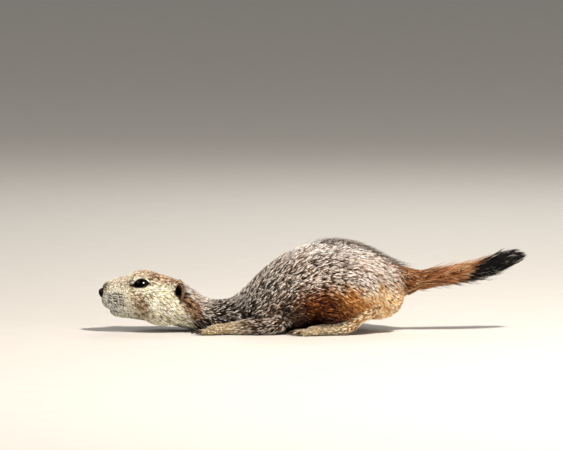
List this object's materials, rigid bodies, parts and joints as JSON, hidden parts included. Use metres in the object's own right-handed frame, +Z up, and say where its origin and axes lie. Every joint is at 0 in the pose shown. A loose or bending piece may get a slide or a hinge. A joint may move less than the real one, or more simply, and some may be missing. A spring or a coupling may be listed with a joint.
{
  "type": "prairie dog",
  "caption": "Life-size black-tailed prairie dog crouching low on a flat floor, back arched, head stretched forward and tail held out behind.",
  "frame": {"origin": "on the floor, under the middle of the animal's bounding box", "axes": "+Z up, the nose points to -X, the tail to +X, the animal's left side to -Y"},
  "size_m": [0.3331, 0.1006, 0.0733],
  "materials": {
    "fur_face": "short soft fur, yellow-cream with a brown crown",
    "fur_back": "grizzled fur, dark brown-grey with white tips",
    "fur_flank": "orange-brown fur, ochre towards the rump",
    "fur_feet": "very short cream fur, dark claws",
    "fur_tail": "long rust-coloured hair, black towards the tip",
    "ear_skin": "thin skin with fine rust-coloured down",
    "nose_skin": "bare blackish skin, slightly moist",
    "eye": "glossy black-brown eye"
  },
  "bodies": {
    "root": {"head": "fur_face", "neck": "fur_back", "torso": "fur_back", "thigh_left": "fur_flank", "thigh_right": "fur_flank", "foreleg_left": "fur_feet", "foreleg_right": "fur_feet", "forepaw_left": "fur_feet", "forepaw_right": "fur_feet", "hindfoot_left": "fur_feet", "hindfoot_right": "fur_feet", "tail": "fur_tail", "ear_left": "ear_skin", "ear_right": "ear_skin", "eye_left": "eye", "eye_right": "eye", "nose": "nose_skin"}
  },
  "joints": []
}
